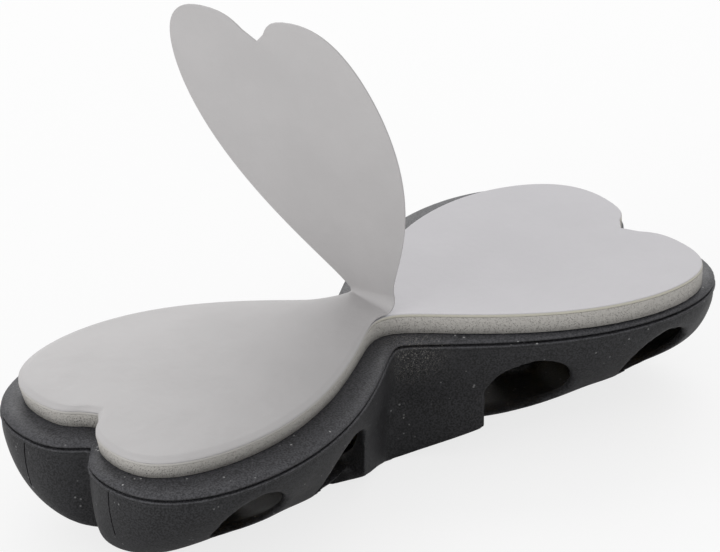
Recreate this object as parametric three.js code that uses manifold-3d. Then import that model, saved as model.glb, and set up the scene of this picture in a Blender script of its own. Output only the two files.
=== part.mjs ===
// Stick-on pheromone trap for crawling insects. Its black housing is two hearts joined at a narrow waist, with
// arched entrances in both long sides. A die-cut foam pad with a sticky skin lies on the plate that closes the
// housing, and one half of the release liner over the pad is peeled back and stands up.
// Millimetres. The origin is the middle of the foot that the trap stands on. +Z is up, +X runs from the left
// heart to the right one, and -Y faces the viewer.

import * as THREE from 'three';
import { mergeVertices } from 'three/addons/utils/BufferGeometryUtils.js';
import Module from 'manifold-3d';

const wasm = await Module();
wasm.setup();

// Plan edge of the housing. It is one quarter, drawn from the notch round the lobe to the waist, and mirrored.
const NOTCH_X = 51.8;
const NOTCH_FLARE_X = 1.2;
const NOTCH_FLARE_Y = 1.6;
const NOSE_X = 56.5;
const NOSE_Y = 9.35;
const NOSE_ROUND_INWARD = 6.5;
const NOSE_ROUND_OUTWARD = 13.9;
const BELLY_X = 37;
const BELLY_HALF_WIDTH = 24.15;
const BELLY_ROUND_OUTWARD = 4.1;
const BELLY_ROUND_INWARD = 20;
const WAIST_HALF_WIDTH = 7.8;
const WAIST_ROUND = 3;

// The housing and all that lies on it bend down towards both ends.
const CROWN_RADIUS = 676;

// Shell. The sections are superellipses with one power across and one down, and the waist's are squarer.
const RIM_HEIGHT = 19.1;
const BELLY_LOW = 1.9;
const BELLY_LOW_X = 29;
const BELLY_ROCKER_RADIUS = 100;
const WALL = 1.9;
const FLOOR = 1.8;
const KEEL_END_X = 42.9;
const KEEL_RADIUS = 1.4;
const POWER_ACROSS_BELLY = 1.9;
const POWER_ACROSS_WAIST = 9;
const POWER_DOWN_BELLY = 2.5;
const POWER_DOWN_WAIST = 6;
const RIM_LAND = 2;
const DRAFT = THREE.MathUtils.degToRad(12);
const CAVITY_OVERSHOOT = 3;

// Foot under the waist. Its walls follow the housing's, and its underside rises from a flat strip to their edges.
const FOOT_END_X = 11.9;
const FOOT_HALF_WIDTH = 6.2;
const FOOT_EDGE_INSET = 1.3;
const FOOT_EDGE_RISE = 5;
const FOOT_RISE_POWER = 1.1;
const FOOT_TOP = 14;
const FOOT_TOP_INSET = 1.5;
const FOOT_STEPS = 10;

// Entrances, cut through both sides. Each is made of two half ellipses, and those beside the foot have a square
// corner there.
const WAIST_ARCH = { x: 18, halfWidth: 6.3, top: 15.4, middle: 9.4, sill: 5.3, square: true };
const LOBE_ARCH = { x: 39.1, halfWidth: 5.8, top: 15.4, middle: 10.7, sill: 6.2, square: false };
const ARCH_DEPTH_END = 3;

// Plate
const FIT_GAP = 0.3;
const PLATE_EDGE = 0.9;
const PLATE_SHOULDER = 2.4;
const PLUG_DEPTH = 1.6;
const PLUG_CLEARANCE = 0.4;

// Pegs that hold the plate in the shell, one in the middle of each heart
const PEG_X = 29.2;
const PEG_RADIUS = 1.8;
const PEG_LENGTH = 10;
const SOCKET_CLEARANCE = 0.3;
const SOCKET_WALL = 1.3;
const SOCKET_ENGAGEMENT = 6;
const SOCKET_SINK = 0.5;

// Pad, laid by hand, so it is turned and shifted on the plate
const PAD_MARGIN = 3.6;
const PAD_TURN = THREE.MathUtils.degToRad(-3.4);
const PAD_SHIFT_X = -0.56;
const PAD_SHIFT_Y = -0.97;
const LAYER_GAP = 0.3;
const TAPE_THICKNESS = 0.2;
const FOAM_THICKNESS = 1.8;
const SKIN_THICKNESS = 0.4;
const TAPE_INSET = 0.4;

// Release liner, folded at the waist
const LINER_THICKNESS = 0.3;
const FOLD_X = 1.0;
const FOLD_HEIGHT = 1.15;
const FOLD_TILT = THREE.MathUtils.degToRad(8);
const FOLD_ANGLE = THREE.MathUtils.degToRad(113.5);
const FOLD_SLIT = 0.5;

// Sticky cards under the plate
const CARD_THICKNESS = 0.6;
const CARD_MARGIN = 1.6;
const CARD_WAIST_X = 12;
const GLUE_THICKNESS = 0.5;
const GLUE_MARGIN = 1.2;
const CARD_HOLE_CLEARANCE = 0.4;

// Lure at the waist
const LURE_RADIUS = 2.9;
const LURE_HEIGHT = 10.6;
const LURE_WELL_RADIUS = 1.6;
const LURE_WELL_DEPTH = 5;
const LURE_CLEARANCE = 0.3;
const CUP_WALL = 0.9;
const CUP_FLOOR = 0.8;
const CUP_SLOT_WIDTH = 1.6;
const CUP_SLOTS = 4;
const CUP_SLOT_FOOT = 2.2;
const CUP_SLOT_HEAD = 1.4;
const LID_THICKNESS = 1;
const LID_HOLE_RADIUS = 0.7;
const LID_HOLE_CIRCLE = 2.1;
const LID_HOLES = 5;

// Steps in each stretch of the quarter edge, and in the other curves
const NOTCH_STEPS = 4;
const LOBE_STEPS = 8;
const FLANK_STEPS = 8;
const SECTION_STEPS = 9;
const CAVITY_STEPS = 7;
const SHOULDER_STEPS = 3;
const FACE_RINGS = [0, 0.5];
const ROUND_STEPS = 20;
const ARCH_STEPS = 24;
// Longer than the trap, for cutters
const REACH = 80;
const MERGE_TOLERANCE = 1e-4;

const black = { color: 0x2d2d30, roughness: 0.55, metalness: 0 };
const foamGrey = { color: 0x949290, roughness: 0.95, metalness: 0 };
const skinWhite = { color: 0xc8c6c9, roughness: 0.6, metalness: 0 };
const linerGrey = { color: 0xb6b4b3, roughness: 0.7, metalness: 0 };
const tapeClear = { color: 0xbdb9a8, roughness: 0.5, metalness: 0 };
const cardWhite = { color: 0xd8d4c8, roughness: 0.9, metalness: 0 };
const glueAmber = { color: 0xc9a95c, roughness: 0.2, metalness: 0 };
const cupGrey = { color: 0x6a6c6e, roughness: 0.5, metalness: 0 };
const rubberRed = { color: 0x8d3a2c, roughness: 0.8, metalness: 0 };

const crown = (x) => -x * x / (2 * CROWN_RADIUS);

// Quarter edge: points with their outward normals, and the spine point that each one faces. The spine points
// never run back towards the end, so lines from the edge to the spine don't cross.
function quarterEdge(inset) {
  const point = (x, y) => new THREE.Vector2(x, y);
  const nose = point(NOSE_X, NOSE_Y);
  const belly = point(BELLY_X, BELLY_HALF_WIDTH);
  const waist = point(0, WAIST_HALF_WIDTH);
  const stretches = [
    [new THREE.CubicBezierCurve(
      point(NOTCH_X, 0),
      point(NOTCH_X + NOTCH_FLARE_X, NOTCH_FLARE_Y),
      point(NOSE_X, NOSE_Y - NOSE_ROUND_INWARD),
      nose,
    ), NOTCH_STEPS],
    [new THREE.CubicBezierCurve(
      nose,
      point(NOSE_X, NOSE_Y + NOSE_ROUND_OUTWARD),
      point(BELLY_X + BELLY_ROUND_OUTWARD, BELLY_HALF_WIDTH),
      belly,
    ), LOBE_STEPS],
    [new THREE.CubicBezierCurve(
      belly,
      point(BELLY_X - BELLY_ROUND_INWARD, BELLY_HALF_WIDTH),
      point(WAIST_ROUND, WAIST_HALF_WIDTH),
      waist,
    ), FLANK_STEPS],
  ];
  const edge = [];
  for (const [curve, steps] of stretches) {
    for (let i = edge.length ? 1 : 0; i <= steps; i += 1) {
      const at = curve.getPoint(i / steps);
      const along = curve.getTangent(i / steps);
      edge.push({ x: at.x, y: at.y, nx: along.y, ny: -along.x });
    }
  }
  Object.assign(edge[0], { nx: 1, ny: 0 });
  Object.assign(edge.at(-1), { nx: 0, ny: 1 });
  let reach = NOTCH_X;
  for (const p of edge) {
    reach = Math.min(reach, p.x);
    p.spineX = reach * KEEL_END_X / NOTCH_X;
    p.x -= p.nx * inset;
    p.y -= p.ny * inset;
  }
  return edge;
}

// Closed edge of the two hearts, counter-clockwise from the right notch
function doubleHeart(inset) {
  const quarter = quarterEdge(inset);
  const there = quarter.slice(0, -1);
  const back = quarter.slice(1).reverse();
  const flip = (p, sx, sy) => ({ x: p.x * sx, y: p.y * sy, spineX: p.spineX * sx });
  return [
    ...there.map((p) => flip(p, 1, 1)),
    ...back.map((p) => flip(p, -1, 1)),
    ...there.map((p) => flip(p, -1, -1)),
    ...back.map((p) => flip(p, 1, -1)),
  ];
}

// Skin between rings of equal length. The first and the last ring are folded onto the spine, so they close.
function loft(rings) {
  const count = rings[0].length;
  const positions = rings.flat().flatMap((p) => [p.x, p.y, p.z]);
  const index = [];
  for (let r = 0; r + 1 < rings.length; r += 1) {
    for (let i = 0; i < count; i += 1) {
      const next = (i + 1) % count;
      const a = r * count + i;
      const b = r * count + next;
      index.push(a, b, b + count, a, b + count, a + count);
    }
  }
  const geometry = new THREE.BufferGeometry();
  geometry.setAttribute('position', new THREE.Float32BufferAttribute(positions, 3));
  geometry.setIndex(index);
  return solid(geometry);
}

// Closed solid of a geometry, once its shared vertices are merged and its collapsed triangles dropped
function solid(geometry) {
  const bare = geometry.clone();
  bare.deleteAttribute('normal');
  bare.deleteAttribute('uv');
  const merged = mergeVertices(bare, MERGE_TOLERANCE);
  const corners = merged.index.array;
  const kept = [];
  for (let i = 0; i < corners.length; i += 3) {
    const [a, b, c] = [corners[i], corners[i + 1], corners[i + 2]];
    if (a !== b && b !== c && c !== a) {
      kept.push(a, b, c);
    }
  }
  return new wasm.Manifold(new wasm.Mesh({
    numProp: 3,
    vertProperties: new Float32Array(merged.attributes.position.array),
    triVerts: new Uint32Array(kept),
  }));
}

function toGeometry(manifold) {
  const mesh = manifold.getMesh();
  const geometry = new THREE.BufferGeometry();
  geometry.setAttribute('position', new THREE.BufferAttribute(mesh.vertProperties, 3));
  geometry.setIndex(new THREE.BufferAttribute(mesh.triVerts, 1));
  geometry.computeVertexNormals();
  return geometry;
}

function cylinder(radius, low, high, x = 0, y = 0) {
  const geometry = new THREE.CylinderGeometry(radius, radius, high - low, ROUND_STEPS);
  geometry.rotateX(Math.PI / 2);
  geometry.translate(x, y, (low + high) / 2);
  return solid(geometry);
}

function box(lowX, highX, lowY, highY, lowZ, highZ) {
  const geometry = new THREE.BoxGeometry(highX - lowX, highY - lowY, highZ - lowZ);
  geometry.translate((lowX + highX) / 2, (lowY + highY) / 2, (lowZ + highZ) / 2);
  return solid(geometry);
}

const onHousing = (p) => p;

function onPad(p) {
  const cos = Math.cos(PAD_TURN);
  const sin = Math.sin(PAD_TURN);
  return { x: p.x * cos - p.y * sin + PAD_SHIFT_X, y: p.x * sin + p.y * cos + PAD_SHIFT_Y };
}

// Ring of the double heart, drawn in towards the spine by share and set at a height on the crown
function faceRing(inset, height, share = 1, place = onHousing) {
  return doubleHeart(inset).map((p) => {
    const at = place({ x: p.spineX + (p.x - p.spineX) * share, y: p.y * share });
    return { x: at.x, y: at.y, z: height + crown(at.x) };
  });
}

// Layer with the double heart's edge, as thick as high - low and bent to the crown
function layer(inset, low, high, place = onHousing) {
  return loft([
    ...FACE_RINGS.map((share) => faceRing(inset, low, share, place)),
    faceRing(inset, low, 1, place),
    faceRing(inset, high, 1, place),
    ...FACE_RINGS.toReversed().map((share) => faceRing(inset, high, share, place)),
  ]);
}

// Height of the keel over its lowest points, which lie in the middles of the hearts
const rocker = (x) => (Math.abs(x) - BELLY_LOW_X) ** 2 / (2 * BELLY_ROCKER_RADIUS);

// Point of the line from the keel to the edge, at a turn from 0 at the rim to a quarter circle at the keel
function sectionPoint(p, turn, bellyLow, high) {
  const low = bellyLow + rocker(p.spineX);
  const span = Math.hypot(p.x - p.spineX, p.y);
  const square = Math.max(0, 1 - span / BELLY_HALF_WIDTH);
  const across = THREE.MathUtils.lerp(POWER_ACROSS_BELLY, POWER_ACROSS_WAIST, square);
  const down = THREE.MathUtils.lerp(POWER_DOWN_BELLY, POWER_DOWN_WAIST, square);
  const rim = high + crown(p.x);
  const z = rim - (rim - low) * Math.sin(turn) ** (2 / down);
  const leaned = Math.tan(DRAFT) * Math.max(0, rim - z - RIM_LAND);
  const bare = Math.max(0, 1 - leaned / span) * Math.cos(turn) ** (2 / across);
  const share = THREE.MathUtils.lerp(KEEL_RADIUS / span, 1, bare);
  return { x: p.spineX + (p.x - p.spineX) * share, y: p.y * share, z };
}

// Bowl from the keel up to an open rim
function bowl(inset, low, high, overshoot, steps) {
  const edge = doubleHeart(inset);
  const rings = [
    edge.map((p) => ({ x: p.spineX, y: 0, z: low + rocker(p.spineX) })),
  ];
  for (let s = steps; s >= 0; s -= 1) {
    const turn = s / steps * Math.PI / 2;
    rings.push(edge.map((p) => sectionPoint(p, turn, low, high)));
  }
  if (overshoot) {
    rings.push(edge.map((p) => ({ x: p.x, y: p.y, z: high + overshoot })));
  }
  const top = overshoot ? () => high + overshoot : (x) => high + crown(x);
  for (const share of FACE_RINGS.toReversed()) {
    rings.push(edge.map((p) => {
      const x = p.spineX + (p.x - p.spineX) * share;
      return { x, y: p.y * share, z: top(x) };
    }));
  }
  return loft(rings);
}

// Half width of the housing at x near the waist, drawn in by an inset
function halfWidthAt(x, inset) {
  const edge = quarterEdge(inset).toReversed();
  const next = edge.findIndex((p) => p.x > Math.abs(x));
  const [a, b] = [edge[next - 1], edge[next]];
  return THREE.MathUtils.mapLinear(Math.abs(x), a.x, b.x, a.y, b.y);
}

// Foot, drawn in by a wall thickness for its cavity. Each slice across it runs from the flat strip to the edge,
// and up into the housing's wall.
function foot(inset) {
  const low = inset ? FLOOR : 0;
  const endX = FOOT_END_X - inset;
  const slice = (x) => {
    const edge = {
      y: halfWidthAt(x, FOOT_EDGE_INSET + inset),
      z: low + FOOT_EDGE_RISE * (Math.abs(x) / FOOT_END_X) ** FOOT_RISE_POWER,
    };
    const flatY = Math.min(FOOT_HALF_WIDTH, edge.y) - inset / 2;
    const side = [
      { x, y: flatY, z: low },
      { x, y: edge.y, z: edge.z },
      { x, y: halfWidthAt(x, FOOT_TOP_INSET + inset), z: FOOT_TOP },
    ];
    return [...side, ...side.toReversed().map((p) => ({ ...p, y: -p.y }))];
  };
  const point = (x) => slice(x).map(() => ({ x, y: 0, z: (low + FOOT_TOP) / 2 }));
  const slices = [];
  for (let i = 0; i <= FOOT_STEPS; i += 1) {
    slices.push(slice(THREE.MathUtils.lerp(-endX, endX, i / FOOT_STEPS)));
  }
  return loft([point(-endX), ...slices, point(endX)]);
}

// Entrance at one end and side, drawn in the XZ plane from the middle of its sill round to its square corner
function arch({ x, halfWidth, top, middle, sill, square }, end, side) {
  const low = -Math.PI / 2;
  const high = square ? Math.PI : Math.PI * 3 / 2;
  const outline = [];
  for (let i = 0; i <= ARCH_STEPS; i += 1) {
    const turn = THREE.MathUtils.lerp(low, high, i / ARCH_STEPS);
    const rise = Math.sin(turn) > 0 ? top - middle : middle - sill;
    outline.push(new THREE.Vector2(end * (x + halfWidth * Math.cos(turn)), middle + rise * Math.sin(turn)));
  }
  if (square) {
    outline.push(new THREE.Vector2(end * (x - halfWidth), sill));
  } else {
    outline.pop();
  }
  const geometry = new THREE.ExtrudeGeometry(new THREE.Shape(outline), {
    depth: REACH - ARCH_DEPTH_END,
    bevelEnabled: false,
  });
  geometry.rotateX(Math.PI / 2);
  geometry.translate(0, side < 0 ? -ARCH_DEPTH_END : REACH, 0);
  return solid(geometry);
}

const rimTop = RIM_HEIGHT;
const flangeLow = rimTop + FIT_GAP;
const plateTop = flangeLow + PLATE_EDGE;
const plugInset = WALL + PLUG_CLEARANCE;
const plugLow = flangeLow - PLUG_DEPTH;
const pegTip = plugLow - PEG_LENGTH;
const socketRadius = PEG_RADIUS + SOCKET_CLEARANCE;
const socketTop = pegTip + SOCKET_ENGAGEMENT;

function housingShell() {
  const outside = bowl(0, BELLY_LOW, rimTop, 0, SECTION_STEPS).add(foot(0));
  const cavity = bowl(WALL, BELLY_LOW + FLOOR, rimTop, CAVITY_OVERSHOOT, CAVITY_STEPS).add(foot(WALL));
  let shell = outside.subtract(cavity);
  for (const end of [-1, 1]) {
    for (const side of [-1, 1]) {
      shell = shell.subtract(arch(WAIST_ARCH, end, side));
      shell = shell.subtract(arch(LOBE_ARCH, end, side));
    }
    const socketLow = BELLY_LOW + FLOOR - SOCKET_SINK;
    shell = shell.add(cylinder(socketRadius + SOCKET_WALL, socketLow, socketTop, end * PEG_X));
    shell = shell.subtract(cylinder(socketRadius, pegTip - FIT_GAP, REACH, end * PEG_X));
  }
  return toGeometry(shell);
}

function basePlate() {
  const shoulder = [];
  for (let s = 1; s <= SHOULDER_STEPS; s += 1) {
    const turn = s / SHOULDER_STEPS * Math.PI / 2;
    shoulder.push(faceRing(PLATE_SHOULDER * (1 - Math.cos(turn)), flangeLow + PLATE_EDGE * Math.sin(turn)));
  }
  let plate = loft([
    ...FACE_RINGS.map((share) => faceRing(plugInset, plugLow, share)),
    faceRing(plugInset, plugLow),
    faceRing(plugInset, flangeLow),
    faceRing(0, flangeLow),
    ...shoulder,
    ...FACE_RINGS.toReversed().map((share) => faceRing(PLATE_SHOULDER, plateTop, share)),
  ]);
  for (const end of [-1, 1]) {
    plate = plate.add(cylinder(PEG_RADIUS, pegTip, plugLow + PLUG_DEPTH / 2, end * PEG_X));
  }
  return toGeometry(plate);
}

const tapeLow = plateTop + LAYER_GAP;
const foamLow = tapeLow + TAPE_THICKNESS + LAYER_GAP;
const skinLow = foamLow + FOAM_THICKNESS + LAYER_GAP;
const skinTop = skinLow + SKIN_THICKNESS;
const linerLow = skinTop + LAYER_GAP;
const linerTop = linerLow + LINER_THICKNESS;

const padLayer = (inset, low, high) => toGeometry(layer(inset, low, high, onPad));

// The two halves of the liner, cut apart in the pad's own frame along the fold
function linerHalf(lowX, highX) {
  const cutter = box(lowX, highX, -REACH, REACH, linerLow - REACH, linerTop + REACH);
  const turned = toGeometry(cutter);
  turned.rotateZ(PAD_TURN);
  turned.translate(PAD_SHIFT_X, PAD_SHIFT_Y, 0);
  return layer(PAD_MARGIN, linerLow, linerTop, onPad).intersect(solid(turned));
}

// A layer in one heart only, from waistX to its end, with a hole for the peg
function sided(inset, low, high, end, waistX) {
  const [lowX, highX] = end > 0 ? [waistX, REACH] : [-REACH, -waistX];
  const half = box(lowX, highX, -REACH, REACH, 0, REACH);
  const hole = cylinder(PEG_RADIUS + CARD_HOLE_CLEARANCE, 0, REACH, end * PEG_X);
  return toGeometry(layer(inset, low, high).intersect(half).subtract(hole));
}

const cardHigh = plugLow - FIT_GAP;
const cardLow = cardHigh - CARD_THICKNESS;
const glueHigh = cardLow - LAYER_GAP;
const glueLow = glueHigh - GLUE_THICKNESS;
const cardInset = plugInset + CARD_MARGIN;

const cupLow = FLOOR + FIT_GAP;
const lureLow = cupLow + CUP_FLOOR + LURE_CLEARANCE;
const lureHigh = lureLow + LURE_HEIGHT;
const cupRadius = LURE_RADIUS + LURE_CLEARANCE + CUP_WALL;
const lidLow = lureHigh + LURE_CLEARANCE;

function lureCup() {
  let cup = cylinder(cupRadius, cupLow, lidLow - FIT_GAP);
  cup = cup.subtract(cylinder(LURE_RADIUS + LURE_CLEARANCE, cupLow + CUP_FLOOR, REACH));
  for (let i = 0; i < CUP_SLOTS; i += 1) {
    const half = CUP_SLOT_WIDTH / 2;
    const slot = toGeometry(box(0, REACH, -half, half, cupLow + CUP_SLOT_FOOT, lidLow - CUP_SLOT_HEAD));
    slot.rotateZ((i + 0.5) / CUP_SLOTS * 2 * Math.PI);
    cup = cup.subtract(solid(slot));
  }
  return toGeometry(cup);
}

function lureSeptum() {
  const body = cylinder(LURE_RADIUS, lureLow, lureHigh);
  return toGeometry(body.subtract(cylinder(LURE_WELL_RADIUS, lureHigh - LURE_WELL_DEPTH, REACH)));
}

function lureLid() {
  let lid = cylinder(cupRadius, lidLow, lidLow + LID_THICKNESS);
  for (let i = 0; i < LID_HOLES; i += 1) {
    const turn = i / LID_HOLES * 2 * Math.PI;
    const x = LID_HOLE_CIRCLE * Math.cos(turn);
    const y = LID_HOLE_CIRCLE * Math.sin(turn);
    lid = lid.subtract(cylinder(LID_HOLE_RADIUS, 0, REACH, x, y));
  }
  return toGeometry(lid);
}

const trap = new THREE.Group();

function addPart(name, geometry, finish, parent = trap) {
  const mesh = new THREE.Mesh(geometry, new THREE.MeshStandardMaterial(finish));
  mesh.name = name;
  parent.add(mesh);
  return mesh;
}

addPart('housing_shell', housingShell(), black);
addPart('base_plate', basePlate(), black);
addPart('pad_tape', padLayer(PAD_MARGIN + TAPE_INSET, tapeLow, tapeLow + TAPE_THICKNESS), tapeClear);
addPart('foam_pad', padLayer(PAD_MARGIN, foamLow, foamLow + FOAM_THICKNESS), foamGrey);
addPart('adhesive_skin', padLayer(PAD_MARGIN, skinLow, skinTop), skinWhite);
addPart('liner_left', toGeometry(linerHalf(-REACH, FOLD_X - FOLD_SLIT)), linerGrey);

// The peeled half is made where it lay and is turned about the fold. The fold's axis lies a little above the
// film and tilts out of the pad's plane, because the film didn't fold quite square.
const foldBase = onPad({ x: FOLD_X, y: 0 });
const fold = new THREE.Vector3(foldBase.x, foldBase.y, skinTop + FOLD_HEIGHT);
const foldAxis = new THREE.Vector3(0, -Math.cos(FOLD_TILT), Math.sin(FOLD_TILT));
foldAxis.applyAxisAngle(new THREE.Vector3(0, 0, 1), PAD_TURN);
const foldPivot = new THREE.Group();
foldPivot.position.copy(fold);
foldPivot.quaternion.setFromAxisAngle(foldAxis, FOLD_ANGLE);
trap.add(foldPivot);
const flapGeometry = toGeometry(linerHalf(FOLD_X + FOLD_SLIT, REACH));
flapGeometry.translate(-fold.x, -fold.y, -fold.z);
addPart('liner_flap', flapGeometry, linerGrey, foldPivot);

for (const [side, end] of [['left', -1], ['right', 1]]) {
  addPart(`glue_card_${side}`, sided(cardInset, cardLow, cardHigh, end, CARD_WAIST_X), cardWhite);
  addPart(
    `glue_layer_${side}`,
    sided(cardInset + GLUE_MARGIN, glueLow, glueHigh, end, CARD_WAIST_X + GLUE_MARGIN),
    glueAmber,
  );
}

addPart('lure_cup', lureCup(), cupGrey);
addPart('lure_septum', lureSeptum(), rubberRed);
addPart('lure_lid', lureLid(), cupGrey);

export default trap;
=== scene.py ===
"""Crawling insect trap: a black housing of two joined hearts, a foam pad and a half-peeled liner."""
import math

import bmesh
import bpy
from bpy.props import FloatProperty, FloatVectorProperty, IntProperty, PointerProperty
from bpy.types import Operator, Panel, PropertyGroup
from mathutils import Matrix, Vector, noise
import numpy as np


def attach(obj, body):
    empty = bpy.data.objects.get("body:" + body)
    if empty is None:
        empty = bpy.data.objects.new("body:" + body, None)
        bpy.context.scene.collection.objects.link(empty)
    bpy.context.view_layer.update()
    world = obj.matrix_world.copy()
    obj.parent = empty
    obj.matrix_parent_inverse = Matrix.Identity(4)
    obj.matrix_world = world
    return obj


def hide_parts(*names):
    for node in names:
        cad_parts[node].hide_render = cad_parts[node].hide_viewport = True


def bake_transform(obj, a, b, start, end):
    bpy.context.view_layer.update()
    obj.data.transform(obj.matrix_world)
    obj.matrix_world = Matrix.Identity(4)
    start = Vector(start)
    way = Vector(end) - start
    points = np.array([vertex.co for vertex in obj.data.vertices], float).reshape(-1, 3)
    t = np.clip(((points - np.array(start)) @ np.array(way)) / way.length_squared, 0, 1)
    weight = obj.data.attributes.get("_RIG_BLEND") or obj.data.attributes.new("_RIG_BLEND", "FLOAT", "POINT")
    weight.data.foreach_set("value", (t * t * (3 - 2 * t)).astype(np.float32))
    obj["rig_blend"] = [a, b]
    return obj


bl_info = {
    "name": "Crawling insect trap",
    "version": (1, 0, 0),
    "blender": (4, 5, 0),
    "location": "View3D > Sidebar > Insect trap",
    "description": "Trap housing of two hearts with a foam pad, a half-peeled release liner and a lure",
    "category": "Object",
}

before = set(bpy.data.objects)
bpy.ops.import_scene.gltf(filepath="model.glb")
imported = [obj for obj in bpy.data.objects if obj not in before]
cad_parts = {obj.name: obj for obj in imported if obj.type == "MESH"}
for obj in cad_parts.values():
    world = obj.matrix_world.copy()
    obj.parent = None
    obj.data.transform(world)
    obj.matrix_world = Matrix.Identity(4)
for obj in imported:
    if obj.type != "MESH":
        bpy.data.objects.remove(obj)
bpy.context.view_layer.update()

MM = 0.001
BLACK = "trap_black_plastic"

# Lengths are in millimetres, apart from those of the finishes, the lamps and the camera, in metres.
# Heights are above the flat face that the trap stands on, and X is 0 in the middle of the waist.

# Plan edge of the housing, one quarter of it, as knots and handles: the notch with the nose of the lobe,
# the belly, and the waist
EDGE_STRETCHES = (
    ((51.8, 0), (53, 1.6), (56.5, 2.85), (56.5, 9.35)),
    ((56.5, 9.35), (56.5, 23.25), (41.1, 24.15), (37, 24.15)),
    ((37, 24.15), (17, 24.15), (3, 7.8), (0, 7.8)),
)
EDGE_STEPS = (8, 22, 26)
NOTCH_X = 51.8
LOBE_END_Y = 9.35
KEEL_END_X = 42.9
BELLY_HALF_WIDTH = 24.15
CROWN_RADIUS = 676
QUARTERS = ((-1, -1), (-1, 1), (1, -1), (1, 1))

# Rows of a flat face, as shares of the way from the spine to its edge, and the least share that a row may
# have that is drawn in by a distance
FACE_SHARES = (0, 0.2, 0.4, 0.6)
LEAST_SHARE = 0.68

# Sections of the shell. The powers are those of its curve at the belly and where the shell is narrowest.
RIM_HEIGHT = 19.1
BELLY_LOW = 1.9
BELLY_LOW_X = 29
ROCKER_RADIUS = 100
KEEL_RADIUS = 1.4
POWER_ACROSS = (1.9, 9)
POWER_DOWN = (2.5, 6)
RIM_LAND = 2
RIM_RECESS = 0.21
DRAFT = math.radians(12)
SECTION_STEPS = 26
CAVITY_RISE = 3
SMOOTHINGS = 12
BEAD_STEPS = 12

# Grooves where the halves of the mould met, at the lobes' ends
MOULD_LINE_X = (40, 60)
MOULD_LINE_HALF_WIDTH = 0.11
MOULD_LINE_HEIGHTS = (8.6, 18.2)

# Foot under the waist: its flat strip, and the edges that rise beside it
FOOT_END_X = 11.9
FOOT_HALF_WIDTH = 6.2
FOOT_EDGE_INSET = 1.3
FOOT_EDGE_RISE = 5
FOOT_RISE_POWER = 1.1
FOOT_TOP = 14
FOOT_TOP_INSET = 1.5
FOOT_STEPS = 24

# Entrances: middle along X, half width, top, widest height, sill, and whether the inner corner is square
WAIST_ARCH = (18, 6.3, 15.4, 9.4, 5.3, True)
LOBE_ARCH = (39.1, 5.8, 15.4, 10.7, 6.2, False)
ARCH_STEPS = 40
ARCH_START_Y = 3

# Size of the cutters, past anything that they cut
REACH = 80
CUT_TOP = 40

# Plate and its pegs. Profiles are points of radius and height.
FLANGE_LOW = 19.4
FLANGE_LOW_INSET = 0.32
FLANGE_EDGE_LOW = FLANGE_LOW + 0.15
FLANGE_RECESS = 0.14
PLATE_TOP = 20.3
PLATE_SHOULDER = 2.4
SHOULDER_STEPS = 10
PLUG_LOW = 17.8
PLUG_INSET = 2.3
PLUG_CHAMFER = 0.2
PEG_X = 29.2
PEG_PROFILE = ((0, 7.8), (1.3, 7.8), (1.8, 8.6), (1.8, 18.6), (0, 18.6))
SOCKET_RADIUS = 2.1
SOCKET_LOW = 7.5
SOCKET_TOP = 13.8
POST_RADIUS = 3.4
POST_ROOT = 0.5

# Pad, with its own place on the plate and its own, narrower notches
PAD_MARGIN = 3.6
PAD_PLACE = Matrix.Translation((-0.56, -0.97, 0)) @ Matrix.Rotation(math.radians(-3.4), 4, "Z")
NOTCH_X_SPAN = (45, 51)
NOTCH_Y_SPAN = (3.2, 10)
NOTCH_DRAW = 1.1
FOAM_HEIGHTS = (20.42, 23.08)
FOAM_ROUNDING = 0.1
SKIN_INSET = PAD_MARGIN + 0.02
SKIN_HEIGHTS = (23.08, 23.58)
SKIN_ROUNDING = 0.16
TAPE_INSET = PAD_MARGIN + 1.3
TAPE_HEIGHTS = (PLATE_TOP + 0.01, FOAM_HEIGHTS[0] + 0.02)
LINER_HEIGHTS = (23.94, 24.14)

# The pad's edge droops over this width of it, where X is past the first of two values, and fully past the
# second. The foam's foot runs in past two such values too. Its cut edge waves at this noise scale, from a
# fixed seed.
DROOP_WIDTH = 1.3
DROOP_STEPS = 5
DROOP_X = (-1, -9)
SLANT_X = (4, -30)
WAVE_SCALE = 0.9
WAVE_SEED = 1

# Fold of the liner: where it is in the flat film, and the hinge of the peeled half
FOLD_X = 1.0
FOLD_POINT = Vector((0.438, -1.029, 24.75))
FOLD_AXIS = Vector((-0.0587, -0.98853, 0.13917)).normalized()
FOLD_ANGLE = math.radians(113.5)
# Stretch of the flat film that curves, how strongly its ends lead the curve, and the line through the
# hinge, with the stretch of it, along which the film passes from one body to the other
BEND_FILM = (-0.5, 0.9)
BEND_PULL = 0.43
BEND_ALONG = Vector((0.25, 0.1259, 1))
BEND_SPAN = (-0.75, 1.35)
# The half that lies on the pad is pressed onto the skin from here to here, by this much
PRESSED_X = (-1.0, -7.0)
PRESSED_BY = 0.31

# Cards under the plate, their coats of glue, and the holes that the pegs pass through
CARD_INSET = 3.9
CARD_HEIGHTS = (16.9, 17.5)
CARD_WAIST_X = 12
CARD_ROUNDING = 0.05
GLUE_INSET = 5.1
GLUE_HEIGHTS = (16.1, 16.6)
GLUE_WAIST_X = 13.2
GLUE_ROUNDING = 0.2
CARD_HOLE_RADIUS = 2.2
ROUNDING_STEPS = 3

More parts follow.
